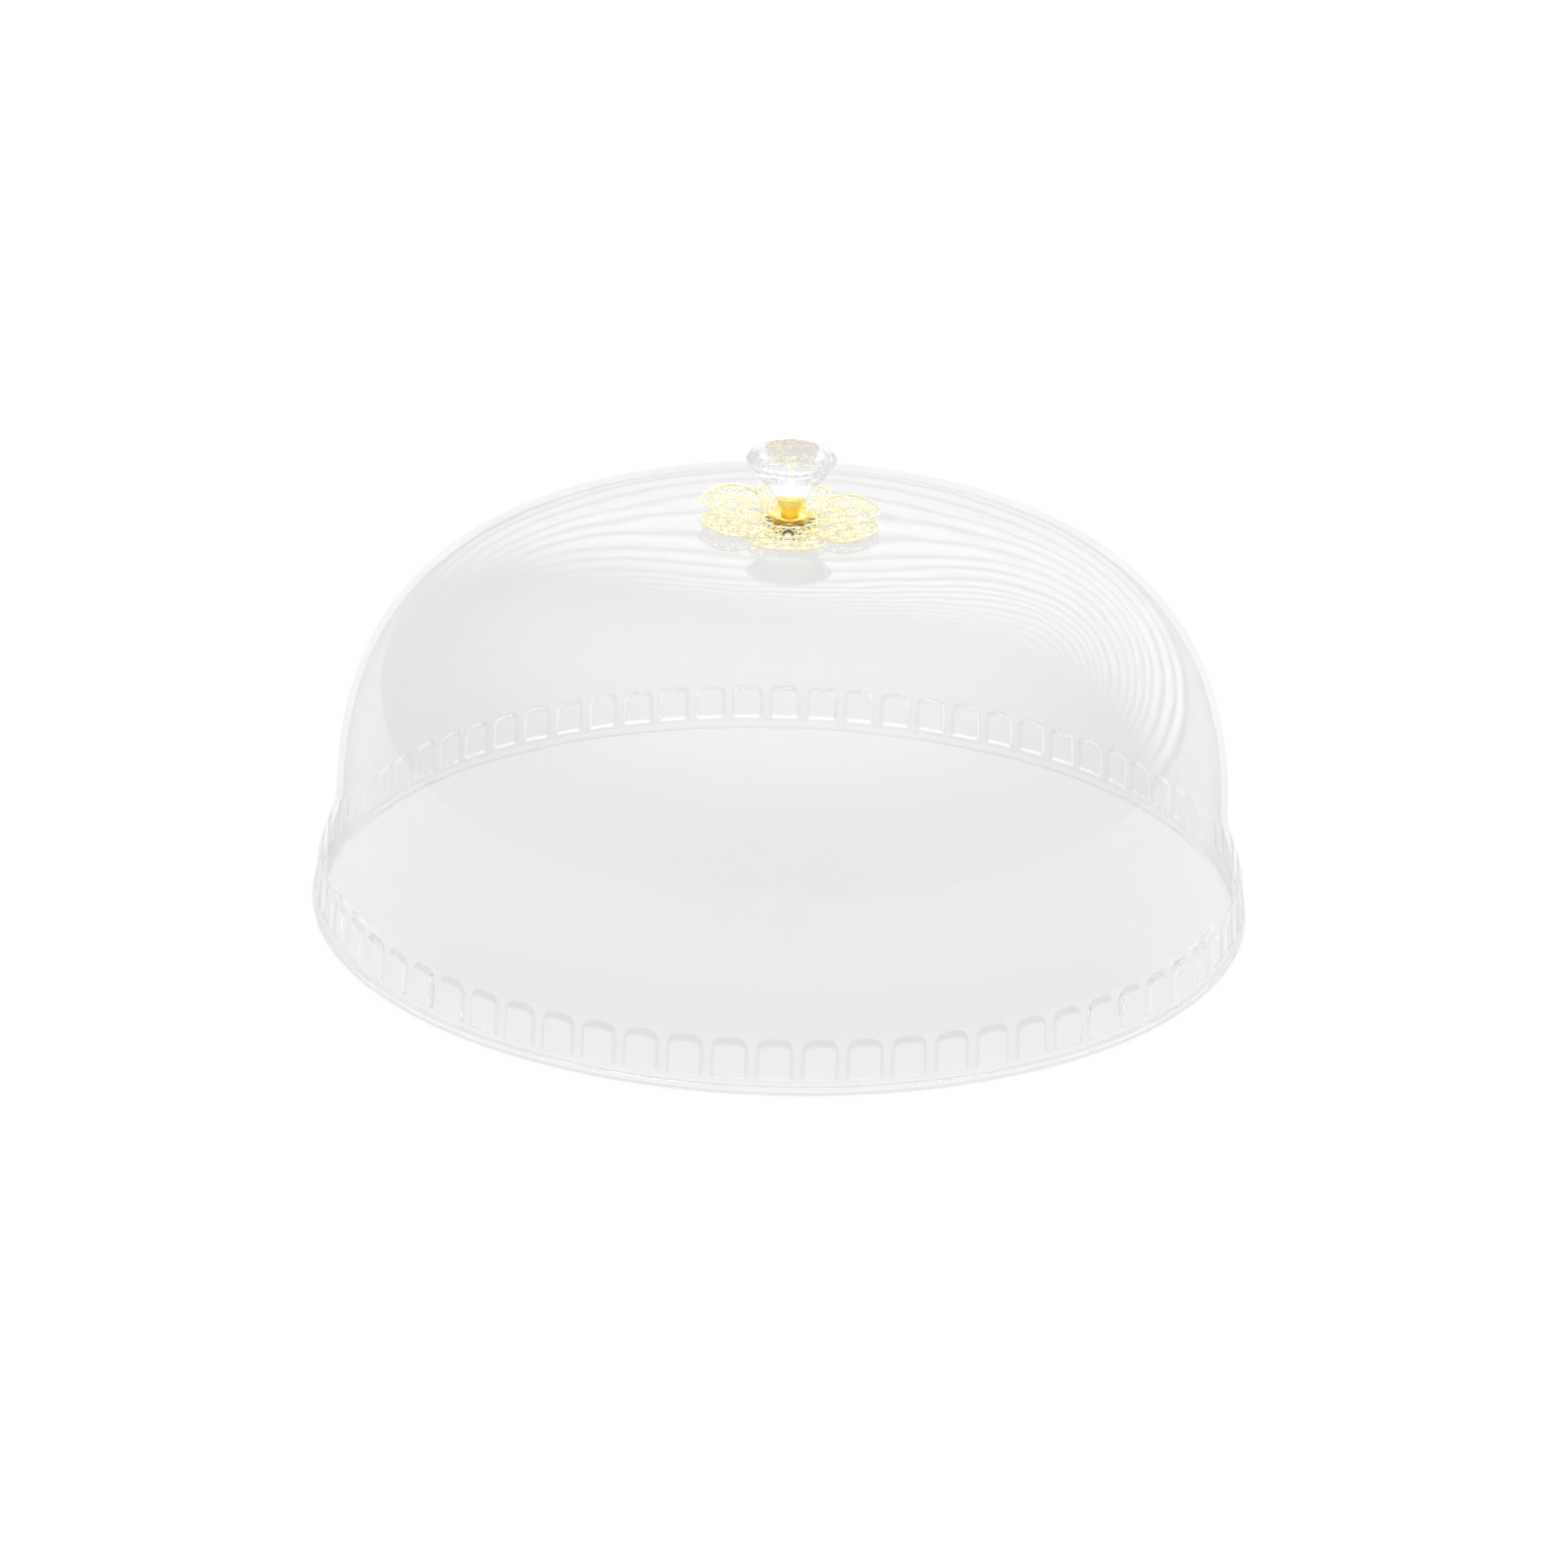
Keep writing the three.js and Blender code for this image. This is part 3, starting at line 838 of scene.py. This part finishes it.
# %% Bend the wires of one petal
tip = PETAL_REACH - FRAME_WIRE
root = (HUB_RADIUS * math.cos(FRAME_START), HUB_RADIUS * math.sin(FRAME_START))
frame_side = bezier([root] + [(out * tip, side * tip) for out, side in FRAME_BENDS], 22)
petal_frame = frame_side + mirrored(frame_side)[-2::-1]
teardrop = bezier(TEARDROP, 12)
lines = [(teardrop + mirrored(teardrop)[-2:0:-1], True)]
for out, side, radius, turns, start in SCROLLS:
    for hand in (1, -1):
        lines.append((circle(out, hand * side, radius, turns, hand * start, SCROLL_EYE, hand), False))
for out, side, radius in RINGS:
    for hand in (1, -1) if side else (1,):
        lines.append((circle(out, hand * side, radius), True))
petal = wires("petal_scrolls", lines, SCROLL_WIRE)
petal_edge = wires("petal_edge", [(petal_frame, False)], FRAME_WIRE, sides=2)
print("wires in one petal:", len(lines) + 1)

# %% Put six petals round the hub and curl them
flower = joined([petal, petal_edge])
bmesh.ops.rotate(flower, verts=flower.verts, cent=(0, 0, 0), matrix=Matrix.Rotation(FLOWER_TURN, 3, "Z"))
repeat(flower, LOBES)
hub_lines = [(circle(0, 0, HUB_EDGE), True)]
for index in range(2 * LOBES):
    angle = FLOWER_TURN + index * math.pi / LOBES
    centre = (HUB_RING_CENTRE * math.cos(angle), HUB_RING_CENTRE * math.sin(angle))
    hub_lines.append((circle(*centre, HUB_RING), True))
flower = joined([flower, wires("hub_rings", hub_lines, HUB_WIRE)])
for vert in flower.verts:
    share = max(vert.co.xy.length / MM - HUB_RADIUS, 0) / (PETAL_REACH - HUB_RADIUS)
    petals_round = (math.atan2(vert.co.y, vert.co.x) - FLOWER_TURN) / (2 * math.pi) * LOBES
    curl = PETAL_CURLS[round(petals_round) % LOBES]
    vert.co.z = vert.co.z * WIRE_FLATNESS + (FLOWER_THICKNESS / 2 + curl * share * share) * MM
disc = turned(
    [(SCREW_HOLE, DISC_FOOT), (DISC_RADIUS, DISC_FOOT), (DISC_RADIUS, DISC_TOP), (SCREW_HOLE, DISC_TOP)],
    steps=72, closed=True,
)
soften(disc, width=0.12, sharper_than=40)
flower = joined([flower, disc])
place("filigree_petals", flower, pale_gold, "filigree_flower", crease=60)

# %% [markdown]
# ## Washers and screw
#
# Under and over the crown lie two clear soft washers, and inside a steel washer and a pan head screw.
# They are small, but the dome is clear, so they are seen from every side. The cross in the screw's head
# is cut with a Boolean modifier, the one step here that bmesh has no operator for.

# %% Make the washers
for name, node, finish, slot, radius, thickness, round_off in (
    ("soft_outer_washer", "outer_gasket", milky_silicone, "silicone", 8, 0.8, 0.25),
    ("soft_inner_washer", "inner_gasket", milky_silicone, "silicone", 9, 1.2, 0.35),
    ("flat_washer", "steel_washer", zinc_steel, "steel", 6, 1.0, 0.15),
):
    section = [(SCREW_HOLE, 0), (radius, 0), (radius, thickness), (SCREW_HOLE, thickness)]
    washer = turned(section, steps=96, closed=True)
    soften(washer, round_off, sharper_than=40, segments=3)
    place(name, washer, finish, node)

# %% Turn the screw
HEAD_HEIGHT, HEAD_RADIUS, HEAD_ROUND, SHANK_RADIUS, SHANK_LENGTH = 3.1, 4, 1.9, 2, 12
RIDGES, RIDGE_PITCH, RIDGE_DEPTH, FIRST_RIDGE, TIP_TAPER = 16, 0.68, 0.35, 0.6, 0.6
head = [(0, 0)]
for turn in (0.35, 0.7, 1.0, 1.3, math.pi / 2):
    head.append((HEAD_RADIUS * math.sin(turn), HEAD_ROUND * (1 - math.cos(turn))))
head += [(HEAD_RADIUS, HEAD_HEIGHT), (SHANK_RADIUS, HEAD_HEIGHT)]
thread = []
for ridge in range(RIDGES):
    start = HEAD_HEIGHT + FIRST_RIDGE + ridge * RIDGE_PITCH
    thread += [(SHANK_RADIUS, start), (SHANK_RADIUS - RIDGE_DEPTH, start + RIDGE_PITCH / 2)]
screw_end = HEAD_HEIGHT + SHANK_LENGTH
screw_tip = [(SHANK_RADIUS - TIP_TAPER, screw_end), (0, screw_end)]
screw = turned(head + thread + screw_tip, steps=48)
print("faces on the plain screw:", len(screw.faces))

# %% Cut the cross into its head
RECESS_LENGTH, RECESS_WIDTH, RECESS_DEPTH = 4.4, 1.2, 1.7
cutter = bmesh.new()
for length, width in ((RECESS_LENGTH, RECESS_WIDTH), (RECESS_WIDTH, RECESS_LENGTH)):
    size = Matrix.Diagonal((length * MM, width * MM, 2 * RECESS_DEPTH * MM, 1))
    bmesh.ops.create_cube(cutter, size=1, matrix=size)
blank, cross = linked("blank", mesh_of("blank", screw)), linked("cross", mesh_of("cross", cutter))
cut = blank.modifiers.new("recess", "BOOLEAN")
cut.object, cut.operation = cross, "DIFFERENCE"
cut.solver, cut.use_self = "EXACT", True
screw = evaluated(blank)
bpy.data.objects.remove(cross)
place("pan_head_screw", screw, zinc_steel, "knob_screw")

# %% [markdown]
# ## The table
#
# The cover stands on a plain pale table, a very light grey that the room lights up to white. Under the
# dome it gets only the light that both walls let through, and so the inside looks evenly grey.

# %% The table
TABLE_HALF_WIDTH = 4
table = bmesh.new()
bmesh.ops.create_grid(table, x_segments=8, y_segments=8, size=TABLE_HALF_WIDTH)
table_top = linked("table", mesh_of("table", table))
table_finish = new_finish("table_white", {"Base Color": (0.9, 0.9, 0.9, 1), "Roughness": 0.7})
table_top.data.materials.append(table_finish)

# %% [markdown]
# ## The room
#
# Clear plastic shows only what it bends and reflects, so the room is what gives it a look. This one is a
# white tent, as for a packshot, and brighter overhead. Behind the cover on the right hangs a blind of
# bright slats. The shoulder mirrors the narrow gaps between them as fine dark lines. The slats are closer
# together higher up, because a flatter crown spreads what it mirrors.

# %% The tent and the slats
# the tent's glow, and how much brighter it grows between two heights in degrees
TENT_GLOW, OVERHEAD_GLOW, OVERHEAD_DEGREES = 1.04, 1.1, (20, 80)
SLAT_GLOW, GAP_SHARPNESS = 1.05, 3
# slats counted at the horizon, slats to a degree of height, and how many more above a height in degrees
FIRST_SLAT, SLATS_PER_DEGREE, CLOSER_ABOVE = 0.15, 0.2, ((14, 0.15), (30, 0.2))
# the side of the room where the blind hangs, and the soft steps at its two ends and, in degrees, at its foot
SLAT_SIDE, SLAT_ENDS, SLAT_FOOT = (0.4, 0.92, 0.0), (0.62, 0.85), (0, 3)

world = bpy.data.worlds.new("white_tent")
bpy.context.scene.world = world
room = Tree(world)
direction = room.node("TexCoord", output="Generated")
upward = room.node("SeparateXYZ", sockets={"Vector": direction}, output="Z")
degrees = math.degrees(1) * room.math("ARCSINE", upward)
slat_count = FIRST_SLAT + SLATS_PER_DEGREE * degrees
for start, extra in CLOSER_ABOVE:
    slat_count = slat_count + extra * room.math("MAXIMUM", degrees - start, 0)
gaps = 0.5 + 0.5 * room.math("SINE", 2 * math.pi * slat_count)
facing = room.node("VectorMath", {"operation": "DOT_PRODUCT"}, {0: direction, 1: SLAT_SIDE}, output="Value")
slats = 1 - room.math("POWER", gaps, GAP_SHARPNESS)
slats = slats * room.smooth_step(facing, *SLAT_ENDS) * room.smooth_step(degrees, *SLAT_FOOT)
tent = TENT_GLOW + OVERHEAD_GLOW * room.smooth_step(degrees, *OVERHEAD_DEGREES)
background = room.node("Background", sockets={"Strength": tent + SLAT_GLOW * slats})
room.node("OutputWorld", sockets={"Surface": background})
print("room: %d nodes" % len(room.nodes))

# %% [markdown]
# A clear wall mirrors and bends a ray many times, so Cycles is allowed more bounces than its usual 12.
# The few above the finish's own limit make sure that the film takes over before Cycles would stop at
# black.

# %% Let the rays go far enough
SPARE_BOUNCES = 6
paths = bpy.context.scene.cycles
paths.max_bounces = paths.glossy_bounces = paths.transmission_bounces = MOST_BOUNCES + SPARE_BOUNCES
paths.transparent_max_bounces = FILM_BOUNCES
bpy.context.scene.view_settings.view_transform = "Standard"
print("bounces: %d, films: %d" % (paths.max_bounces, paths.transparent_max_bounces))
